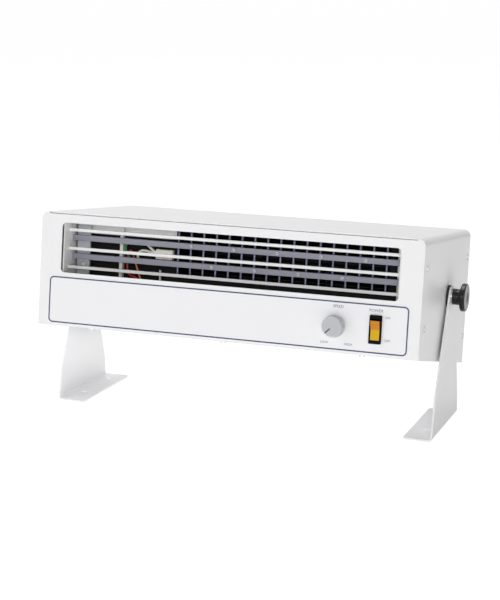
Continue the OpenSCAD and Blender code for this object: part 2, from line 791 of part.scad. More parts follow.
module lead_connector() {
    w = 12;
    h = 6.5;
    color("white") in_case() translate([fan_left - sheet_t - w, duct_front - 7.6, slot_up + 18.5]) difference() {
        cube([w, 7.5, h]);
        for (i = [0:1]) translate([3.2 + 5.6 * i, 0, h / 2]) rod_y(-1, 5, 2.6);
    }
}

// ---- Electrical parts on the floor ----
transformer_w = 62;
transformer_d = 56;
transformer_h = 42;
clip_w = 88;
clip_t = 1.9;
transformer_x = -tray_x + sheet_t + 5 + clip_w / 2;
transformer_y = rear_y - 17 - clip_t - transformer_d / 2;
module transformer() {
    color([0.15, 0.15, 0.17]) in_case() on_floor() translate([transformer_x, transformer_y, clip_t + 0.1]) {
        linear_extrude(transformer_h) rounded(transformer_w, transformer_d, 4);
        for (x = [-18, 0, 18]) translate([x, -transformer_d / 2 + 10, transformer_h - 0.1]) cylinder(h = 6, d = 5);
    }
}
module transformer_clip() {
    y = transformer_d / 2 + 0.1;
    color("silver") in_case() on_floor() translate([transformer_x, transformer_y, 0.05]) difference() {
        union() {
            translate([-clip_w / 2, -y - 1.5, 0]) cube([clip_w, 2 * y + 3, clip_t]);
            for (s = [-y - 1.5, y]) translate([-transformer_w / 2, s, 0]) cube([transformer_w, 1.5, 20]);
        }
        for (s = [-1, 1]) translate([s * (clip_w / 2 - 6), 0, -1]) cylinder(h = 5, d = hole_d);
    }
}
module transformer_screw_places() {
    for (s = [-1, 1]) on_floor() translate([transformer_x + s * (clip_w / 2 - 6), transformer_y, 0]) children();
}
block_w = 44;
block_d = 22;
module terminal_block() {
    pole = (block_w - 2) / 4;
    color("ivory") in_case() on_floor() translate([fan_x - block_w / 2, rear_y - 20 - block_d, 0.05]) difference() {
        union() {
            cube([block_w, block_d, 8]);
            for (i = [0:3]) translate([1.5 + pole * i, 3, 7.9]) cube([pole - 1, block_d - 6, 7]);
        }
        for (i = [0:3]) translate([1 + pole * (i + 0.5), block_d / 2, 10]) cylinder(h = 10, d = 4.5);
    }
}

// ---- Controls ----
bushing_d = 9.4;
nut_d = 14;
pot_back = sheet_t + 0.05;
module potentiometer() {
    color("darkslategray") in_case() translate([speed_x, 0, control_up]) difference() {
        union() {
            rod_y(pot_back, pot_back + 10, 24);
            rod_y(-2.4, pot_back + 0.5, bushing_d);
            translate([0, -2.4, 0]) rotate([-90, 0, 0]) cylinder(h = 2.35, d = nut_d, $fn = 6);
            for (x = [-5, 0, 5]) translate([x - 0.75, pot_back + 2, -19]) cube([1.5, 0.8, 9]);
        }
        rod_y(-20, pot_back + 8, shaft_d + 0.12);
    }
}
module pot_shaft() {
    color("silver") in_case() translate([speed_x, 0, control_up]) difference() {
        rod_y(-speed_l + 2, pot_back + 7.9, shaft_d);
        translate([-shaft_d, -speed_l - 1, shaft_d / 2 - 1.5]) cube([2 * shaft_d, 8, shaft_d]);
    }
}
// Thin skirt, finely fluted grip and a pointer groove that starts at the lower left.
speed_gap = 2.8;
module speed_knob() {
    grip_d = speed_d - 1.6;
    flutes = 20;
    color("silver") in_case() translate([speed_x, 0, control_up]) rotate([90, 0, 0]) difference() {
        union() {
            translate([0, 0, speed_gap]) cylinder(h = 1.6, d = speed_d);
            translate([0, 0, speed_gap + 1]) cylinder(h = speed_l - speed_gap - 2, d = grip_d);
            translate([0, 0, speed_l - 1.1]) cylinder(h = 1.1, d1 = grip_d, d2 = grip_d - 2.2);
        }
        for (i = [0:flutes - 1]) rotate(i * 360 / flutes) translate([grip_d / 2 + 0.75, 0, speed_gap + 2.4])
            cylinder(h = speed_l, d = 2.2, $fn = 24);
        translate([0, 0, speed_gap - 1]) cylinder(h = speed_l - speed_gap - 0.8, d = shaft_d + 0.04);
        translate([0, 0, speed_gap - 1]) cylinder(h = 1.2, d = nut_d + 2.2);
        rotate(225) translate([2.5, -0.8, speed_l - 0.7]) cube([grip_d, 1.6, 2]);
    }
}
rocker_half = bezel_h / 2 - 4.6;
rocker_rise = 4.5;
bezel_t = 2;
cavity_h = 2 * rocker_half + 1.9;
module switch_body() {
    color([0.05, 0.05, 0.05]) in_case() translate([switch_x, 0, control_up]) difference() {
        union() {
            along_y(-overlay_t - 0.05 - bezel_t, -overlay_t - 0.05) rounded(bezel_w, bezel_h, 1);
            along_y(-overlay_t - 0.1, 22) square([bezel_w - 3, bezel_h - 2.6], center = true);
            for (z = [-8, 0, 8]) translate([-3.15, 21.9, z - 0.4]) cube([6.3, 9, 0.8]);
        }
        along_y(-bezel_t - 5, 9) square([bezel_w - 3.4, cavity_h], center = true);
    }
}
// A shallow V that swings about its middle; at rest its lower half is flush with the bezel.
module switch_rocker() {
    w = bezel_w - 3.8;
    valley = rocker_rise - rocker_half * tan(rocker_swing);
    color("orange") in_case() translate([switch_x, 0, control_up]) rotate([rocker_swing, 0, 0])
        along_x(-w / 2, w / 2) {
            polygon([[-rocker_rise, rocker_half], [-valley, 0], [-rocker_rise, -rocker_half],
                [0, -rocker_half + 1.5], [3, -4], [3, 4], [0, rocker_half - 1.5]]);
            translate([3, 0]) circle(d = 6);
        }
}
module speed_board() {
    color("darkgreen") in_case() translate([speed_x - 34, pot_back + 10.05, control_up - 20]) {
        cube([52, 1.6, 38]);
        translate([4, 1.5, 4]) cube([14, 9, 20]);
        translate([24, 1.5, 6]) cube([8, 12, 12]);
        translate([40, 1.5, 26]) rotate([-90, 0, 0]) cylinder(h = 12, d = 9);
    }
}
module inlet_socket() {
    color([0.05, 0.05, 0.05]) in_case() translate([socket_x, rear_y, socket_z]) difference() {
        union() {
            along_y(sheet_t + 0.05, sheet_t + 2.5) rounded(34, 26, 3);
            along_y(-22, sheet_t + 1) rounded(27.6, 20.6, 3);
            for (x = [-7, 0, 7]) translate([x - 3.15, -31, -0.4]) cube([6.3, 9.1, 0.8]);
        }
        along_y(-14, sheet_t + 5) rounded(24, 16.4, 2.5);
        inlet_pin_places(0.02) cube([2 + 0.04, 20, 4 + 0.04]);
    }
}
// Two live pins, and the earth pin a little higher between them.
module inlet_pin_places(play) {
    for (p = [[-7, -2], [0, 2], [7, -2]]) translate([p[0] - 1 - play, -16.5 - play, p[1] - 2 - play]) children();
}
module inlet_pins() {
    color("goldenrod") in_case() translate([socket_x, rear_y, socket_z]) inlet_pin_places(0) cube([2, 13, 4]);
}
module fuse_holder() {
    color([0.05, 0.05, 0.05]) in_case() translate([fuse_x, rear_y, socket_z]) {
        rod_y(-24, sheet_t + 1, 12.2);
        rod_y(sheet_t + 0.05, sheet_t + 3, 16);
        rod_y(sheet_t + 2.9, sheet_t + 8, 12);
        translate([-0.8, 0, -6.5]) along_y(sheet_t + 4, sheet_t + 8) square([1.6, 13]);
    }
}

// ---- Fasteners ----
// Pan head above z = 0 and shank below it.
module pan_screw(l) {
    cylinder(h = head_h * 0.55, d = head_d);
    translate([0, 0, head_h * 0.55]) cylinder(h = head_h * 0.45, d1 = head_d, d2 = head_d * 0.6);
    translate([0, 0, -l]) cylinder(h = l + 0.1, d = shank_d);
}
module side_screws() {
    color("silver") in_case() both_sides() for (s = side_screw_yz)
        translate([case_w / 2 + 0.05, s[0], s[1]]) rotate([0, 90, 0]) pan_screw(6);
}
module bottom_screws() {
    color("silver") in_case() bottom_screw_places()
        translate([0, 0, -sheet_t - 0.05]) mirror([0, 0, 1]) pan_screw(6);
}
module fan_screws() {
    color("silver") in_case() foot_screw_places() translate([0, 0, sheet_t + 0.1]) pan_screw(2 * sheet_t + 0.1);
}
module transformer_screws() {
    color("silver") in_case() transformer_screw_places() translate([0, 0, 2]) pan_screw(3.4);
}
module rear_screws() {
    color("silver") in_case() rear_screw_places()
        translate([0, sheet_t + 0.05, 0]) rotate([-90, 0, 0]) pan_screw(6);
}

bracket_left();
bracket_right();
friction_washers();
clamp_washer_left();
clamp_washer_right();
clamp_stud_left();
clamp_stud_right();
clamp_knob_left();
clamp_knob_right();
weld_nuts();
cover();
bottom_tray();
front_panel();
control_overlay();
rear_panel();
outlet_grille();
emitter_bar_upper();
emitter_bar_lower();
emitter_support_left();
emitter_support_right();
emitter_points();
earth_rails();
earth_wires();
bar_brace();
outlet_baffle();
baffle_bracket();
fan_end_plate_left();
fan_end_plate_right();
fan_scroll();
fan_tongue();
impeller();
fan_shafts();
bearing_bush();
bush_mount();
motor_core();
motor_coil();
motor_rotor();
motor_bracket_inner();
motor_bracket_outer();
lead_connector();
transformer();
transformer_clip();
terminal_block();
speed_board();
potentiometer();
pot_shaft();
speed_knob();
switch_body();
switch_rocker();
inlet_socket();
inlet_pins();
fuse_holder();
side_screws();
bottom_screws();
rear_screws();
fan_screws();
transformer_screws();
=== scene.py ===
# Ionizing blower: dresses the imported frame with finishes, markings, leads and detailed fasteners.
import bpy
import json
import math
from mathutils import Matrix, Vector


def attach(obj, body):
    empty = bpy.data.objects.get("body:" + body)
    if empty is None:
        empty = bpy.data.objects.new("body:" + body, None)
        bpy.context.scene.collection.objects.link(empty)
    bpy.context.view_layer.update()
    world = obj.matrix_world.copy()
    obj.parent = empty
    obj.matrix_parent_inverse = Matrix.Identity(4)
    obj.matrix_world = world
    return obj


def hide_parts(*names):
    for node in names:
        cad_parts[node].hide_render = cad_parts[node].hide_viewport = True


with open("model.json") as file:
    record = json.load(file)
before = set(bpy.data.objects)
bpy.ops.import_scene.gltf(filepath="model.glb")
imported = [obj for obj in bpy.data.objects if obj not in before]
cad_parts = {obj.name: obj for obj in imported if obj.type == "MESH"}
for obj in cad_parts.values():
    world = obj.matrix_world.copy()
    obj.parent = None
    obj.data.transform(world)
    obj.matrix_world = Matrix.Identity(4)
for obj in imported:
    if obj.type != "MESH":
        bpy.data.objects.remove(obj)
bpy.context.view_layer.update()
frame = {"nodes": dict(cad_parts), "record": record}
nodes = frame["nodes"]
scene = bpy.context.scene
mm = 0.001
print("frame loaded:", len(nodes), "nodes")

# the case's own frame: x from the middle, y from the front face, z from the lower front edge
caseFrame = {"tilt": 6, "pivotBack": 132, "pivotUp": 58, "pivotHeight": 149}
caseMatrix = (Matrix.Translation((0, 0, caseFrame["pivotHeight"] * mm))
              @ Matrix.Rotation(math.radians(-caseFrame["tilt"]), 4, "X")
              @ Matrix.Translation((0, -caseFrame["pivotBack"] * mm, -caseFrame["pivotUp"] * mm)))


def metres(*values):
    return [value * mm for value in values]


def deselect():
    bpy.ops.object.select_all(action="DESELECT")


def pick(obj):
    deselect()
    obj.select_set(True)
    bpy.context.view_layer.objects.active = obj


def editFaces(obj, test):
    # enters edit mode with the faces selected that pass the test
    pick(obj)
    bpy.ops.object.mode_set(mode="EDIT")
    bpy.ops.mesh.select_mode(type="FACE")
    bpy.ops.mesh.select_all(action="DESELECT")
    bpy.ops.object.mode_set(mode="OBJECT")
    for face in obj.data.polygons:
        face.select = test(face)
    bpy.ops.object.mode_set(mode="EDIT")


def leaveEdit():
    bpy.ops.object.mode_set(mode="OBJECT")


def recess(obj, side, margin, depth):
    # sinks the middle of the face that looks to the front (-1) or to the back (1)
    editFaces(obj, lambda face: face.normal.y * side > 0.99)
    bpy.ops.mesh.inset(thickness=margin * mm)
    bpy.ops.transform.translate(value=(0, -side * depth * mm, 0))
    leaveEdit()


def settle(obj, matrix=None):
    # the place goes into the mesh, and the object stays at the origin
    pick(obj)
    if matrix is not None:
        obj.matrix_world = matrix @ obj.matrix_world
    bpy.ops.object.transform_apply(location=True, rotation=True, scale=True)
    return obj


def addModifier(obj, kind, **values):
    modifier = obj.modifiers.new(kind.title(), kind)
    for name, value in values.items():
        setattr(modifier, name, value)
    pick(obj)
    bpy.ops.object.modifier_apply(modifier=modifier.name)


def block(size, middle, bevel):
    # a box with rounded edges
    bpy.ops.mesh.primitive_cube_add(size=1)
    obj = bpy.context.active_object
    obj.scale = metres(*size)
    obj.location = metres(*middle)
    settle(obj)
    addModifier(obj, "BEVEL", width=bevel * mm, segments=2)
    return obj


def stud(radius, depth, middle, axis, sides=24, bevel=0.3):
    # a short cylinder with rounded rims
    bpy.ops.mesh.primitive_cylinder_add(vertices=sides, radius=radius * mm, depth=depth * mm)
    obj = bpy.context.active_object
    obj.rotation_euler = Vector(axis).to_track_quat("Z", "Y").to_euler()
    obj.location = metres(*middle)
    settle(obj)
    addModifier(obj, "BEVEL", width=bevel * mm, segments=2, limit_method="ANGLE")
    return obj


def copyOf(obj, name):
    twin = obj.copy()
    twin.data = obj.data.copy()
    twin.name = name
    scene.collection.objects.link(twin)
    return twin


def joined(parts, name):
    deselect()
    for part in parts:
        part.select_set(True)
    bpy.context.view_layer.objects.active = parts[0]
    if len(parts) > 1:
        bpy.ops.object.join()
    parts[0].name = name
    parts[0].data.name = name
    return parts[0]


def smooth(obj, angle=35):
    pick(obj)
    bpy.ops.object.shade_smooth_by_angle(angle=math.radians(angle))


def finishPiece(obj, name, body, finish):
    obj.name = name
    obj.data.name = name
    obj.data.materials.clear()
    obj.data.materials.append(materials[finish])
    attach(obj, body)
    return obj


def casePiece(parts, name, finish, angle=35):
    # parts made in the case's own frame become one piece of the case
    piece = settle(joined(parts, name), caseMatrix)
    smooth(piece, angle)
    return finishPiece(piece, name, "case", finish)


class Wire:
    # a node socket that can be used in ordinary sums
    def __init__(self, wiring, socket):
        self.wiring = wiring
        self.socket = socket

    def combine(self, operation, other):
        return self.wiring.add("Math", {"operation": operation}, [self, other])

    def __add__(self, other):
        return self.combine("ADD", other)

    __radd__ = __add__

    def __mul__(self, other):
        return self.combine("MULTIPLY", other)

    __rmul__ = __mul__


class Wiring:
    # a node tree and the one way in which nodes get into it
    def __init__(self, tree):
        self.tree = tree

    def feed(self, socket, value):
        if isinstance(value, Wire):
            self.tree.links.new(value.socket, socket)
        else:
            socket.default_value = value

    def add(self, kind, settings, values, output=0):
        node = self.tree.nodes.new("ShaderNode" + kind)
        for key, value in settings.items():
            setattr(node, key, value)
        pairs = values.items() if isinstance(values, dict) else enumerate(values)
        for key, value in pairs:
            self.feed(node.inputs[key], value)
        return Wire(self, node.outputs[output])

    def show(self, ending, factor, plain, other):
        # the output shows the plain shader where the factor is 0 and the other where it is 1
        mixed = self.add("MixShader", {}, {"Fac": factor, 1: plain, 2: other})
        self.feed(self.tree.nodes[ending].inputs["Surface"], mixed)


class Shade(Wiring):
    # one material, whose surface takes the constants
    def __init__(self, name, **constants):
        self.material = bpy.data.materials.new(name)
        self.material.use_nodes = True
        super().__init__(self.material.node_tree)
        self.surface = self.tree.nodes["Principled BSDF"]
        for key, value in constants.items():
            self.to(key.replace("_", " "), value)

    def coords(self, stretch=(1, 1, 1)):
        place = self.add("TexCoord", {}, [], "Object")
        return self.add("Mapping", {}, {"Vector": place, "Scale": stretch})

    def noise(self, vector, scale, detail=2.0):
        return self.add("TexNoise", {}, {"Vector": vector, "Scale": scale, "Detail": detail}, "Fac")

    def bands(self, vector, direction, scale, distortion, detail=2.0):
        return self.add("TexWave", {"wave_type": "BANDS", "bands_direction": direction},
                        {"Vector": vector, "Scale": scale, "Distortion": distortion,
                         "Detail": detail}, "Fac")

    def blend(self, factor, first, second):
        return self.add("Mix", {"data_type": "RGBA"}, {0: factor, 6: first, 7: second}, 2)

    def to(self, name, value):
        self.feed(self.surface.inputs[name], value)

    def bump(self, height, strength, distance):
        self.to("Normal", self.add("Bump", {}, {"Height": height, "Strength": strength,
                                                "Distance": distance}))


def rgba(colour, gain=1.0):
    return (colour[0] * gain, colour[1] * gain, colour[2] * gain, 1.0)


def spread(shade, colour, vector, scale, amount, detail=3.0):
    # lets a colour wander a little over the surface
    field = shade.noise(vector, scale, detail)
    mixed = shade.blend(field, rgba(colour, 1 - amount), rgba(colour, 1 + amount))
    shade.to("Base Color", mixed)
    return field


plainMirror = 0.5  # how strongly a finish reflects when its look names no mirror
coarse = 0.0004  # heights of the bumps, in metres
fine = 0.0002

paint = {"coatRoughness": 0.12, "toneScale": 9, "tone": 0.012, "toneShare": 0.08, "peelShare": 0.06}


def paintFinish(name, look):
    shade = Shade(name, Coat_Weight=look["coat"], Coat_Roughness=paint["coatRoughness"],
                  Specular_IOR_Level=look.get("mirror", plainMirror))
    place = shade.coords()
    field = spread(shade, look["colour"], place, paint["toneScale"], paint["tone"])
    peel = shade.noise(place, look["peelScale"])
    uneven = field * paint["toneShare"] + peel * paint["peelShare"]
    shade.to("Roughness", uneven + look["roughness"])
    shade.bump(peel, look["peel"], coarse)
    return shade.material


zinc = {"dark": 0.86, "light": 1.1, "cellShare": 0.14, "streakShare": 0.1, "streakScale": 30,
        "stretch": (1, 1, 40), "bump": 0.12}


def sheetFinish(name, look):
    # zinc spangles
    shade = Shade(name, Metallic=look["metallic"])
    place = shade.coords()
    cells = shade.add("TexVoronoi", {"feature": "F1"}, {"Vector": place, "Scale": look["cell"]},
                      "Color")
    grey = shade.add("SeparateColor", {}, [cells])
    shade.to("Base Color", shade.blend(grey, rgba(look["colour"], zinc["dark"]),
                                       rgba(look["colour"], zinc["light"])))
    streak = shade.noise(shade.coords(zinc["stretch"]), zinc["streakScale"])
    uneven = grey * zinc["cellShare"] + streak * zinc["streakShare"]
    shade.to("Roughness", uneven + look["roughness"])
    shade.bump(streak, zinc["bump"], fine)
    return shade.material


metalUneven = 0.16


def metalFinish(name, look):
    shade = Shade(name, Metallic=1.0)
    place = shade.coords(look.get("stretch", (1, 1, 1)))
    field = spread(shade, look["colour"], place, look["scale"], look["vary"])
    shade.to("Roughness", field * metalUneven + look["roughness"])
    shade.bump(field, look["grain"], fine)
    return shade.material


plastic = {"coatRoughness": 0.08, "toneScale": 14, "tone": 0.03, "uneven": 0.12, "detail": 3}


def plasticFinish(name, look):
    shade = Shade(name, Coat_Weight=look.get("coat", 0.0), Coat_Roughness=plastic["coatRoughness"],
                  Specular_IOR_Level=look.get("mirror", plainMirror))
    place = shade.coords(look.get("stretch", (1, 1, 1)))
    spread(shade, look["colour"], shade.coords(), plastic["toneScale"],
           look.get("vary", plastic["tone"]))
    grain = shade.noise(place, look["scale"], plastic["detail"])
    shade.to("Roughness", grain * plastic["uneven"] + look["roughness"])
    shade.bump(grain, look["grain"], fine)
    return shade.material


tape = {"scale": 110, "wander": 0.6, "dark": 0.6, "light": 1.25, "uneven": 0.2, "roughness": 0.4,
        "bump": 0.5}


def tapeFinish(name, look):
    # layers of tape round the winding
    shade = Shade(name)
    band = shade.bands(shade.coords(), "Y", tape["scale"], tape["wander"], 1.0)
    shade.to("Base Color", shade.blend(band, rgba(look["colour"], tape["dark"]),
                                       rgba(look["colour"], tape["light"])))
    shade.to("Roughness", band * tape["uneven"] + tape["roughness"])
    shade.bump(band, tape["bump"], coarse)
    return shade.material


laminations = {"metallic": 0.75, "scale": 320, "wander": 0.2, "dirtScale": 60, "dirtDetail": 3,
               "bandShare": 0.6, "dirtShare": 0.4, "dark": 0.6, "light": 1.2, "uneven": 0.2,
               "roughness": 0.45, "bump": 0.6}


def laminationFinish(name, look):
    shade = Shade(name, Metallic=laminations["metallic"])
    place = shade.coords()
    band = shade.bands(place, "X", laminations["scale"], laminations["wander"])
    field = shade.noise(place, laminations["dirtScale"], laminations["dirtDetail"])
    tone = band * laminations["bandShare"] + field * laminations["dirtShare"]
    shade.to("Base Color", shade.blend(tone, rgba(look["colour"], laminations["dark"]),
                                       rgba(look["colour"], laminations["light"])))
    shade.to("Roughness", field * laminations["uneven"] + laminations["roughness"])
    shade.bump(band, laminations["bump"], coarse)
    return shade.material


board = {"coat": 0.3, "scale": 130, "line": 0.035, "dark": 0.9, "light": 1.15, "track": 1.9,
         "unevenScale": 90, "uneven": 0.15, "roughness": 0.35}


def boardFinish(name, look):
    shade = Shade(name, Coat_Weight=board["coat"])
    place = shade.coords()
    tracks = shade.add("TexBrick", {"offset": 0.5}, {
        "Vector": place, "Scale": board["scale"], "Mortar Size": board["line"],
        "Color1": rgba(look["colour"], board["dark"]),
        "Color2": rgba(look["colour"], board["light"]),
        "Mortar": rgba(look["colour"], board["track"])}, "Color")
    shade.to("Base Color", tracks)
    uneven = shade.noise(place, board["unevenScale"]) * board["uneven"]
    shade.to("Roughness", uneven + board["roughness"])
    return shade.material


rocker = {"coatRoughness": 0.1, "mirror": 0.3, "softness": 0.0006, "grainScale": 500, "uneven": 0.1,
          "bump": 0.04}


def rockerFinish(name, look):
    # the lower half is painted lighter and yellower than the upper one: painted light on the lower
    # facet, which faces up into the lamps, and painted shade on the upper facet
    shade = Shade(name, Coat_Weight=look["coat"], Coat_Roughness=rocker["coatRoughness"],
                  Specular_IOR_Level=rocker["mirror"])
    height = shade.add("SeparateXYZ", {}, [shade.add("TexCoord", {}, [], "Object")], 2)
    # blends from the painted light below one height to the painted shade above it
    litToShaded = shade.add("MapRange", {}, {0: height, 1: look["paintedLightSplit"] - rocker["softness"],
                                      2: look["paintedLightSplit"] + rocker["softness"], 3: 0.0, 4: 1.0})
    shade.to("Base Color", shade.blend(litToShaded, rgba(look["low"]), rgba(look["high"])))
    grain = shade.noise(shade.coords(), rocker["grainScale"], 3)
    shade.to("Roughness", grain * rocker["uneven"] + look["roughness"])
    shade.bump(grain, rocker["bump"], fine)
    return shade.material


finishes = {
    "white_paint": (paintFinish, {"colour": (0.885, 0.885, 0.895), "roughness": 0.32,
                                  "coat": 0.12, "peelScale": 900, "peel": 0.05}),
    "bracket_paint": (paintFinish, {"colour": (0.875, 0.875, 0.88), "roughness": 0.32,
                                    "coat": 0.12, "peelScale": 850, "peel": 0.06}),
    "guard_white": (paintFinish, {"colour": (0.87, 0.865, 0.86), "roughness": 0.32,
                                  "coat": 0.1, "peelScale": 900, "peel": 0.05}),
    "housing_black": (paintFinish, {"colour": (0.006, 0.006, 0.007), "roughness": 0.6,
                                    "coat": 0.0, "mirror": 0.15, "peelScale": 700, "peel": 0.12}),
    "impeller_black": (paintFinish, {"colour": (0.008, 0.008, 0.009), "roughness": 0.42,
                                     "coat": 0.0, "mirror": 0.2, "peelScale": 700, "peel": 0.1}),
    "galvanised": (sheetFinish, {"colour": (0.60, 0.62, 0.64), "metallic": 0.9, "cell": 140,
                                 "roughness": 0.34}),
    "steel": (metalFinish, {"colour": (0.68, 0.68, 0.67), "scale": 220, "vary": 0.06,
                            "roughness": 0.26, "grain": 0.15}),
    "rotor_metal": (metalFinish, {"colour": (0.62, 0.62, 0.63), "scale": 160, "vary": 0.05,
                                  "roughness": 0.34, "grain": 0.2, "stretch": (8, 1, 1)}),
    "tungsten": (metalFinish, {"colour": (0.60, 0.60, 0.62), "scale": 300, "vary": 0.04,
                               "roughness": 0.2, "grain": 0.1}),
    "grid_steel": (metalFinish, {"colour": (0.17, 0.17, 0.245), "scale": 260, "vary": 0.08,
                                 "roughness": 0.3, "grain": 0.2}),
    "bronze": (metalFinish, {"colour": (0.50, 0.30, 0.13), "scale": 900, "vary": 0.12,
                             "roughness": 0.42, "grain": 0.3}),
    "brass": (metalFinish, {"colour": (0.70, 0.50, 0.22), "scale": 300, "vary": 0.06,
                            "roughness": 0.24, "grain": 0.1}),
    "overlay": (plasticFinish, {"colour": (0.885, 0.885, 0.905), "roughness": 0.34, "scale": 1500,
                                "grain": 0.04, "vary": 0.01, "coat": 0.1}),
    "emitter_plastic": (plasticFinish, {"colour": (0.27, 0.27, 0.325), "roughness": 0.38,
                                        "scale": 260, "grain": 0.12, "vary": 0.06,
                                        "stretch": (0.05, 1, 1)}),
    "support_plastic": (plasticFinish, {"colour": (0.55, 0.57, 0.60), "roughness": 0.42,
                                        "scale": 420, "grain": 0.1}),
    "black_rubber": (plasticFinish, {"colour": (0.012, 0.012, 0.012), "roughness": 0.7,
                                     "scale": 700, "grain": 0.3, "vary": 0.2}),
    "black_plastic": (plasticFinish, {"colour": (0.004, 0.004, 0.005), "roughness": 0.12,
                                      "scale": 800, "grain": 0.06, "vary": 0.2, "coat": 0.06,
                                      "mirror": 0.3}),
    "switch_black": (plasticFinish, {"colour": (0.003, 0.003, 0.003), "roughness": 0.42,
                                     "scale": 800, "grain": 0.06, "vary": 0.2, "mirror": 0.07}),
    "potting": (plasticFinish, {"colour": (0.02, 0.02, 0.023), "roughness": 0.5, "scale": 180,
                                "grain": 0.2, "vary": 0.15}),
    "white_plastic": (plasticFinish, {"colour": (0.78, 0.78, 0.74), "roughness": 0.4,
                                      "scale": 500, "grain": 0.08}),
    "connector_cream": (plasticFinish, {"colour": (0.86, 0.84, 0.74), "roughness": 0.4,
                                        "scale": 500, "grain": 0.08}),
    "knob_grey": (plasticFinish, {"colour": (0.50, 0.51, 0.53), "roughness": 0.3, "scale": 900,
                                  "grain": 0.1, "coat": 0.15}),
    "print": (plasticFinish, {"colour": (0.055, 0.065, 0.14), "roughness": 0.4, "scale": 900,
                              "grain": 0.05}),
    "caption": (plasticFinish, {"colour": (0.20, 0.21, 0.27), "roughness": 0.4, "scale": 900,
                                "grain": 0.05}),
    "coil": (tapeFinish, {"colour": (0.35, 0.12, 0.03)}),
    "core_steel": (laminationFinish, {"colour": (0.30, 0.28, 0.26)}),
    "board": (boardFinish, {"colour": (0.02, 0.13, 0.05)}),
    # one amber in two tones: the low colour carries painted light, the high colour painted shade,
    # split at one height
    "amber": (rockerFinish, {"low": (0.70, 0.41, 0.003), "high": (0.57, 0.205, 0.004),
                             "paintedLightSplit": 0.134, "roughness": 0.26, "coat": 0.08}),
}
leadColours = {
    "lead_red": (0.55, 0.02, 0.015),
    "lead_green": (0.02, 0.28, 0.08),
    "lead_amber": (0.72, 0.24, 0.03),
    "lead_cream": (0.80, 0.76, 0.62),
    "lead_white": (0.78, 0.78, 0.76),
}
for name, colour in leadColours.items():
    finishes[name] = (plasticFinish, {"colour": colour, "roughness": 0.35, "scale": 600,
                                      "grain": 0.05})
materials = {name: make("finish_" + name, look) for name, (make, look) in finishes.items()}

slotOf = {entry["node"]: entry["material_slot"] for entry in frame["record"]["subparts"]}
for nodeName, obj in nodes.items():
    obj.data.materials.clear()
    obj.data.materials.append(materials[slotOf[nodeName]])
nodes["switch_body"].data.materials[0] = materials["switch_black"]
print("finishes made:", len(materials))

# markings on the control overlay
overlay = {"width": 415.6, "height": 53.1, "low": 3.0, "face": -0.4, "corner": 5, "inset": 0.42,
           "line": 1.45, "thick": 0.12, "cornerSteps": 8}
upright = (math.radians(90), 0, 0)  # turns what was drawn flat to face the front


def overlayBorder():
    bpy.ops.mesh.primitive_plane_add(size=1)
    border = bpy.context.active_object
    border.scale = (*metres(overlay["width"] - 2 * overlay["inset"],
                            overlay["height"] - 2 * overlay["inset"]), 1)
    bpy.ops.object.transform_apply(scale=True)
    bpy.ops.object.mode_set(mode="EDIT")
    bpy.ops.mesh.select_all(action="SELECT")
    bpy.ops.mesh.bevel(offset=overlay["corner"] * mm, segments=overlay["cornerSteps"],
                       affect="VERTICES")
    bpy.ops.mesh.select_all(action="SELECT")
    bpy.ops.mesh.inset(thickness=overlay["line"] * mm, use_even_offset=True)
    bpy.ops.mesh.delete(type="FACE")
    bpy.ops.mesh.select_all(action="SELECT")
    rise = (0, 0, overlay["thick"] * mm)
    bpy.ops.mesh.extrude_region_move(TRANSFORM_OT_translate={"value": rise})
    bpy.ops.mesh.select_all(action="SELECT")
    bpy.ops.mesh.normals_make_consistent(inside=False)
    leaveEdit()
    border.rotation_euler = upright
    border.location = metres(0, overlay["face"], overlay["low"] + overlay["height"] / 2)
    settle(border, caseMatrix)
    finishPiece(border, "overlay_border", "case", "print")


captions = [
    ("speed_caption", "SPEED", (130.4, 50.0), 3.2),
    ("low_caption", "LOW", (117.0, 10.6), 2.8),
    ("high_caption", "HIGH", (143.4, 10.4), 2.8),
    ("power_caption", "POWER", (172.0, 48.9), 3.3),
    ("on_caption", "ON", (184.7, 42.2), 2.6),
    ("off_caption", "OFF", (185.6, 17.8), 2.8),
]
sizePerCapital = 1.35  # text size over the height of a capital


def caption(name, words, place, height):
    bpy.ops.object.text_add()
    text = bpy.context.active_object
    text.data.body = words
    text.data.size = height * sizePerCapital * mm
    text.data.align_x = "CENTER"
    text.data.align_y = "CENTER"
    text.data.extrude = overlay["thick"] / 2 * mm
    bpy.ops.object.convert(target="MESH")
    text.rotation_euler = upright
    text.location = metres(place[0], overlay["face"] - overlay["thick"] / 2, place[1])
    settle(text, caseMatrix)
    finishPiece(text, name, "case", "caption")


overlayBorder()
for entry in captions:
    caption(*entry)
print("markings made")

# screws with cross recesses
screw = {"headRadius": 3.5, "headHeight": 2.0, "rim": 0.5, "crown": 0.7, "dome": 0.45,
         "recess": 1.3, "slotWidth": 0.95, "slotLength": 4.4, "taper": 0.45, "sides": 28,
         "firstTurn": 23, "turnStep": 47}


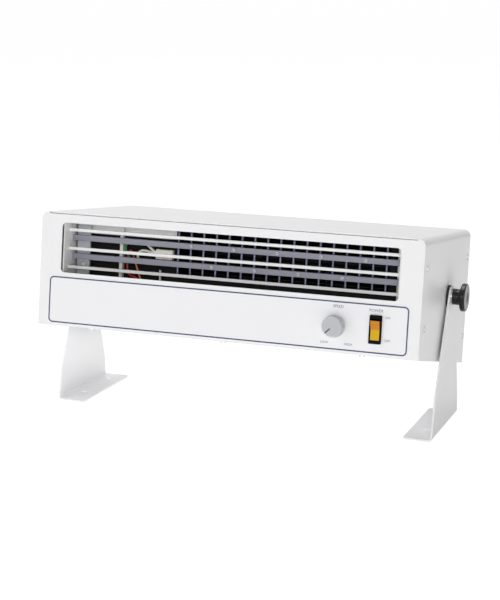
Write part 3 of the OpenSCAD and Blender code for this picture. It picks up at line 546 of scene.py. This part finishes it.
def screwModel():
    top = screw["headHeight"] * mm
    bpy.ops.mesh.primitive_cylinder_add(vertices=screw["sides"], radius=screw["headRadius"] * mm,
                                        depth=top, location=(0, 0, top / 2))
    head = bpy.context.active_object
    settle(head)
    editFaces(head, lambda face: face.normal.z > 0.9 and face.center.z > top * 0.9)
    bpy.ops.mesh.inset(thickness=screw["rim"] * mm)
    bpy.ops.mesh.inset(thickness=screw["crown"] * mm)
    leaveEdit()
    for vertex in head.data.vertices:
        reach = vertex.co.xy.length / (screw["headRadius"] * mm)
        if vertex.co.z > top * 0.9:
            vertex.co.z = top * (1 - screw["dome"] * reach ** 3)
    cutters = []
    for turn in (0, 90):
        bpy.ops.mesh.primitive_cube_add(size=1, location=(0, 0, top))
        bar = bpy.context.active_object
        bar.scale = metres(screw["slotLength"], screw["slotWidth"], 2 * screw["recess"])
        bar.rotation_euler = (0, 0, math.radians(turn))
        settle(bar)
        editFaces(bar, lambda face: face.normal.z < -0.9)
        bpy.ops.transform.resize(value=(screw["taper"], screw["taper"], 1))
        leaveEdit()
        cutters.append(bar)
    for bar in cutters:
        addModifier(head, "BOOLEAN", operation="DIFFERENCE", solver="EXACT", object=bar)
        bpy.data.objects.remove(bar)
    smooth(head, 40)
    return head


def screwSet(model, nodeName, spots):
    # spots: (place, direction the head faces)
    heads = []
    for index, (place, facing) in enumerate(spots):
        head = copyOf(model, f"{nodeName}_{index}")
        turn = Vector(facing).to_track_quat("Z", "Y").to_matrix().to_4x4()
        angle = math.radians(screw["firstTurn"] + screw["turnStep"] * index)
        spin = Matrix.Rotation(angle, 4, "Z")
        head.matrix_world = Matrix.Translation(Vector(place)) @ turn @ spin
        settle(head)
        heads.append(head)
    piece = joined(heads, nodeName + "_detailed")
    finishPiece(piece, nodeName + "_detailed", "case", "steel")
    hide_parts(nodeName)


caseSize = {"width": 440, "frontHeight": 128, "rearHeight": 158, "depth": 240, "sheet": 1.5,
            "rear": 236.5}
drop = caseSize["rearHeight"] - caseSize["frontHeight"]
slope = math.atan(drop / caseSize["depth"])
floorMatrix = (caseMatrix @ Matrix.Rotation(-slope, 4, "X")
               @ Matrix.Translation((0, 0, caseSize["sheet"] * mm)))


def floorZ(y):
    return -drop * y / caseSize["depth"]


fan = {"left": -72, "right": 174, "back": 118, "screwOut": 7.5, "screwFront": 40, "screwBack": 20}
transformer = {"x": -167.8, "y": 189.6, "reach": 38, "clipTop": 2.02}
# the heads stand a hair off the sheet; a low side screw's height is above the sloping floor
screwSpots = {
    "upperSides": [(18, 96), (230, 96)], "lowerSides": [(20, 34), (230, 32)], "sideGap": 0.02,
    "bottom": [(-157, 9), (0, 9), (157, 9)], "rear": (-180, -60, 60, 180), "rearUp": 8.5,
    "gap": 0.03, "fanGap": 0.12,
}


def onFloor(points, height, facing):
    return [(floorMatrix @ Vector(metres(x, y, height)), facing) for x, y in points]


def fasteners():
    model = screwModel()
    sheet = caseSize["sheet"]
    reach = caseSize["width"] / 2 + screwSpots["sideGap"]
    down = floorMatrix.to_3x3() @ Vector((0, 0, -1))
    back = caseMatrix.to_3x3() @ Vector((0, 1, 0))
    sides = []
    for upper, (y, height) in zip(screwSpots["upperSides"], screwSpots["lowerSides"]):
        for spotY, spotZ in (upper, (y, floorZ(y) + height)):
            for side in (1, -1):
                place = caseMatrix @ Vector(metres(side * reach, spotY, spotZ))
                sides.append((place, (side, 0, 0)))
    screwSet(model, "side_screws", sides)
    screwSet(model, "bottom_screws",
             onFloor(screwSpots["bottom"], -sheet - screwSpots["gap"], down))
    rearY = caseSize["rear"] + sheet + screwSpots["gap"]
    rearZ = floorZ(caseSize["rear"]) + screwSpots["rearUp"]
    screwSet(model, "rear_screws",
             [(caseMatrix @ Vector(metres(x, rearY, rearZ)), back) for x in screwSpots["rear"]])
    fanSpots = [(x, y) for x in (fan["left"] - fan["screwOut"], fan["right"] + fan["screwOut"])
                for y in (fan["back"] - fan["screwFront"], fan["back"] + fan["screwBack"])]
    screwSet(model, "fan_screws", onFloor(fanSpots, sheet + screwSpots["fanGap"], -down))
    clipSpots = [(transformer["x"] + side * transformer["reach"], transformer["y"])
                 for side in (-1, 1)]
    screwSet(model, "transformer_screws", onFloor(clipSpots, transformer["clipTop"], -down))
    bpy.data.objects.remove(model)


fasteners()
print("screws made")

# leads behind the outlet; the last three run along the front panel's back to the speed board
leads = {
    "lead_high_upper": {"finish": "lead_white", "radius": 1.5, "points": [
        (-90, 36.2, 88), (-96.5, 36, 88.4), (-101.5, 35.8, 92.6), (-107, 35.6, 97.5),
        (-114, 35.4, 99.4), (-120, 33.6, 99.2)]},
    "lead_high_lower": {"finish": "lead_cream", "radius": 1.4, "points": [
        (-90, 36.8, 86.4), (-98, 37, 87.4), (-106, 37.4, 89.2), (-113, 37, 89.8),
        (-117.6, 36.4, 86), (-117, 35.4, 80.4), (-113, 33.5, 78.4)]},
    "lead_green": {"finish": "lead_green", "radius": 1.1, "points": [
        (-120, 33.2, 98.4), (-128, 35.4, 99), (-132.8, 36.2, 94), (-132, 36.2, 87),
        (-127, 35.2, 80), (-122, 33.2, 78)]},
    "lead_red": {"finish": "lead_red", "radius": 1.1, "points": [
        (-120.5, 35.6, 76), (-122.6, 36.4, 84), (-125.4, 36.6, 90.4), (-128.6, 36.6, 86),
        (-129.8, 36.5, 74), (-129.4, 36.4, 63), (-125, 36.2, 59.6), (-117, 36.6, 58.4),
        (-108, 33, 50), (-96, 20, 38), (-60, 9.5, 33), (20, 8, 32), (80, 8.5, 33),
        (90.4, 12, 35), (95.6, 13.9, 36)]},
    "lead_amber": {"finish": "lead_amber", "radius": 1.1, "points": [
        (-121.5, 35.6, 80), (-119.4, 36.2, 74), (-116.8, 36.3, 68), (-114.5, 36, 61),
        (-109, 33, 53), (-95, 18, 34), (-60, 8.6, 28), (20, 7.6, 27), (80, 8.3, 27),
        (90.4, 12, 27.5), (95.6, 13.9, 28)]},
    "lead_earth": {"finish": "lead_white", "radius": 1.3, "points": [
        (-90.2, 38.8, 67), (-89.4, 37.2, 68.6), (-89, 35.9, 66), (-88.8, 36, 58),
        (-87, 34, 48), (-78, 20, 30), (-50, 9, 23), (20, 7.4, 22), (80, 8.2, 21),
        (90.2, 12, 19.5), (95.6, 14.1, 19)]},
}


def lead(name, look):
    curve = bpy.data.curves.new(name, "CURVE")
    curve.dimensions = "3D"
    curve.bevel_depth = look["radius"] * mm
    curve.bevel_resolution = 3
    curve.resolution_u = 8
    curve.use_fill_caps = True
    spline = curve.splines.new("NURBS")
    spline.points.add(len(look["points"]) - 1)
    for point, place in zip(spline.points, look["points"]):
        point.co = (*metres(*place), 1)
    spline.use_endpoint_u = True
    spline.order_u = 4
    obj = bpy.data.objects.new(name, curve)
    scene.collection.objects.link(obj)
    pick(obj)
    bpy.ops.object.convert(target="MESH")
    casePiece([bpy.context.active_object], name, look["finish"], 60)


for name, look in leads.items():
    lead(name, look)
print("leads made")

# connector, emitter support and small trim
connector = {
    "size": (20.4, 6.4, 11.2), "middle": (-84.4, 36.3, 86.6), "bevel": 0.7, "wall": 1.1,
    "recess": 0.7, "ribs": 3, "ribPitch": 5.2, "ribWidth": 1.4, "ribDepth": 1.6, "ribShort": 2.6,
    "ribSink": 0.9, "latch": (7, 1.2, 2.4), "latchOut": 0.1, "latchDown": 1.6, "edge": 0.3,
    "sleeveRadius": 2.1, "sleeveLength": 3.2, "sleeveOut": 0.9, "sleeveBack": 0.2,
    "sleeveUp": 1.6, "sleeveDrops": (0, 1.9),
}


def leadConnector():
    width, depth, height = connector["size"]
    x, y, z = connector["middle"]
    face = y - depth / 2
    parts = [block(connector["size"], connector["middle"], connector["bevel"])]
    recess(parts[0], -1, connector["wall"], connector["recess"])
    rib = (connector["ribWidth"], connector["ribDepth"], height - connector["ribShort"])
    for index in range(connector["ribs"]):
        offset = (index - (connector["ribs"] - 1) / 2) * connector["ribPitch"]
        parts.append(block(rib, (x + offset, face + connector["ribSink"], z), connector["edge"]))
    latch = (x, face - connector["latchOut"], z + height / 2 - connector["latchDown"])
    parts.append(block(connector["latch"], latch, connector["edge"]))
    for drop in connector["sleeveDrops"]:
        middle = (x - width / 2 - connector["sleeveOut"], y + connector["sleeveBack"] + drop / 4,
                  z + connector["sleeveUp"] - drop)
        parts.append(stud(connector["sleeveRadius"], connector["sleeveLength"], middle, (1, 0, 0)))
    piece = casePiece(parts, "lead_connector_detailed", "connector_cream")
    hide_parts("lead_connector")


support = {
    "left": -190.3, "right": -174.6, "front": 32.1, "thick": 3.5, "low": 57.5, "high": 119.5,
    "edge": 0.5, "wall": 1.8, "recess": 1.2, "rib": (3.2, 2.0, 9), "ribOut": 0.3, "ribUp": 4.6,
    "ribEdge": 0.4, "bossX": -181, "bossZ": 69.4, "headRadius": 2.5, "headDepth": 1.9,
    "headOut": 0.6, "headEdge": 0.6, "headWall": 1.0, "headRecess": 0.5, "headSides": 28,
}


def emitterSupport():
    size = (support["right"] - support["left"], support["thick"], support["high"] - support["low"])
    middle = ((support["left"] + support["right"]) / 2, support["front"] + support["thick"] / 2,
              (support["low"] + support["high"]) / 2)
    plate = block(size, middle, support["edge"])
    recess(plate, 1, support["wall"], support["recess"])
    ribPlace = (support["bossX"], support["front"] - support["ribOut"],
                support["low"] + support["ribUp"])
    rib = block(support["rib"], ribPlace, support["ribEdge"])
    piece = casePiece([plate, rib], "emitter_support_left_detailed",
                      "support_plastic")
    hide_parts("emitter_support_left")
    headPlace = (support["bossX"], support["front"] - support["headOut"], support["bossZ"])
    head = stud(support["headRadius"], support["headDepth"], headPlace, (0, -1, 0),
                support["headSides"], support["headEdge"])
    recess(head, -1, support["headWall"], support["headRecess"])
    casePiece([head], "support_fastener", "white_plastic")


collars = {"radius": 1.9, "depth": 1.5, "face": 24.4, "sides": 20, "edge": 0.35,
           "rows": [(77.9, [-24, 26, 76, 126]), (98.9, [-49, 1, 51, 101, 151])]}


def emitterCollars():
    y = collars["face"] - collars["depth"] / 2
    rings = [stud(collars["radius"], collars["depth"], (x, y, z), (0, -1, 0), collars["sides"],
                  collars["edge"]) for z, places in collars["rows"] for x in places]
    casePiece(rings, "emitter_collars", "support_plastic")


# the black sheet of painted shade low in the outlet
shadeSheet = {"left": -79, "right": 183.2, "front": 34.6, "thick": 1.0, "low": 54.8, "high": 63.6,
       "fold": 2.6, "foldThick": 0.9, "foldIn": 0.3, "edge": 0.25}


def outletShadeSheet():
    # a black folded sheet in front of the lower rail; it is painted shade, a dark sheet that blacks
    # out the outlet below the lowest guard bar
    width = shadeSheet["right"] - shadeSheet["left"]
    x = (shadeSheet["left"] + shadeSheet["right"]) / 2
    sheet = block((width, shadeSheet["thick"], shadeSheet["high"] - shadeSheet["low"]),
                  (x, shadeSheet["front"] + shadeSheet["thick"] / 2, (shadeSheet["low"] + shadeSheet["high"]) / 2),
                  shadeSheet["edge"])
    hem = block((width, shadeSheet["fold"], shadeSheet["foldThick"]),
                (x, shadeSheet["front"] - shadeSheet["fold"] / 2 + shadeSheet["foldIn"],
                 shadeSheet["low"] + shadeSheet["foldThick"] / 2), shadeSheet["edge"])
    casePiece([sheet, hem], "outlet_shade_sheet", "housing_black")


pointer = {"x": 127.6, "z": 29, "turn": 225, "start": 3.2, "end": 10.6, "width": 1.3,
           "top": 11.55, "thick": 0.3, "edge": 0.1}


def knobPointer():
    # drawn lying flat with the knob's axis upwards, then turned to face the front
    size = (pointer["end"] - pointer["start"], pointer["width"], pointer["thick"])
    middle = ((pointer["start"] + pointer["end"]) / 2, 0, pointer["top"] - pointer["thick"] / 2)
    strip = block(size, middle, pointer["edge"])
    settle(strip, caseMatrix @ Matrix.Translation(metres(pointer["x"], 0, pointer["z"]))
           @ Matrix.Rotation(math.radians(90), 4, "X")
           @ Matrix.Rotation(math.radians(pointer["turn"]), 4, "Z"))
    smooth(strip)
    finishPiece(strip, "knob_pointer", "speed_control", "print")


leadConnector()
emitterSupport()
emitterCollars()
outletShadeSheet()
knobPointer()
print("trim made")

# camera
lens = {"azimuth": 18.85, "elevation": 11.65, "roll": 1.19, "place": (585.2, -1755.3, 506.7),
        "focal": 1621.31, "picture": 600, "sensor": 36, "near": 0.05, "far": 50}


def placeCamera():
    data = bpy.data.cameras.new("camera")
    camera = bpy.data.objects.new("camera", data)
    scene.collection.objects.link(camera)
    data.sensor_width = lens["sensor"]
    data.lens = lens["sensor"] * lens["focal"] / lens["picture"]
    data.clip_start = lens["near"]
    data.clip_end = lens["far"]
    azimuth = math.radians(lens["azimuth"])
    elevation = math.radians(lens["elevation"])
    back = Vector((math.sin(azimuth) * math.cos(elevation),
                   -math.cos(azimuth) * math.cos(elevation), math.sin(elevation)))
    aim = (-back).to_track_quat("-Z", "Y").to_matrix().to_4x4()
    roll = Matrix.Rotation(math.radians(lens["roll"]), 4, "Z")
    camera.matrix_world = Matrix.Translation(Vector(lens["place"]) * mm) @ aim @ roll
    scene.camera = camera


# studio: a pale floor and world that the camera sees as white
studio = {
    "world": 0.08,
    "white": 1.0,
    "aim": (0, 0, 0.12),
    "lamps": {
        "key": {"place": (1.05, -2.95, 0.9), "size": 0.9, "power": 31},
        "top": {"place": (-0.8, 0.5, 3.0), "size": 2.0, "power": 64},
        "left": {"place": (-2.2, -2.0, 1.2), "size": 1.5, "power": 15},
    },
    "floor": {"size": 90, "below": 0.0003, "colour": (0.88, 0.88, 0.88), "roughness": 0.9,
              "mirror": 0.1, "glow": 0.45, "white": 1.1, "share": 0.8},
}
whiteColour = (1, 1, 1, 1)


def placeLamps():
    for name, look in studio["lamps"].items():
        data = bpy.data.lights.new(name, "AREA")
        data.energy = look["power"]
        data.size = look["size"]
        lamp = bpy.data.objects.new(name, data)
        scene.collection.objects.link(lamp)
        lamp.location = look["place"]
        aim = Vector(studio["aim"]) - Vector(look["place"])
        lamp.rotation_euler = aim.to_track_quat("-Z", "Y").to_euler()


def placeWorld():
    world = bpy.data.worlds.new("studio")
    scene.world = world
    world.use_nodes = True
    wiring = Wiring(world.node_tree)
    lighting = wiring.tree.nodes["Background"]
    wiring.feed(lighting.inputs["Color"], whiteColour)
    wiring.feed(lighting.inputs["Strength"], studio["world"])
    backdrop = wiring.add("Background", {}, {"Color": whiteColour, "Strength": studio["white"]})
    seen = wiring.add("LightPath", {}, [], "Is Camera Ray")
    for kind in ("Is Glossy Ray", "Is Transmission Ray"):
        seen = seen.combine("MAXIMUM", wiring.add("LightPath", {}, [], kind))
    wiring.show("World Output", seen, Wire(wiring, lighting.outputs[0]), backdrop)


def placeFloor():
    look = studio["floor"]
    bpy.ops.mesh.primitive_plane_add(size=look["size"], location=(0, 0, -look["below"]))
    floor = bpy.context.active_object
    floor.name = "studio_floor"
    shade = Shade("studio_floor", Roughness=look["roughness"], Specular_IOR_Level=look["mirror"],
                  Base_Color=rgba(look["colour"]), Emission_Color=whiteColour,
                  Emission_Strength=look["glow"])
    white = shade.add("Emission", {}, {"Color": whiteColour, "Strength": look["white"]})
    share = shade.add("LightPath", {}, [], "Is Camera Ray") * look["share"]
    shade.show("Material Output", share, Wire(shade, shade.surface.outputs[0]), white)
    floor.data.materials.append(shade.material)


placeCamera()
placeLamps()
placeWorld()
placeFloor()
scene.view_settings.view_transform = "Standard"
print("studio ready")
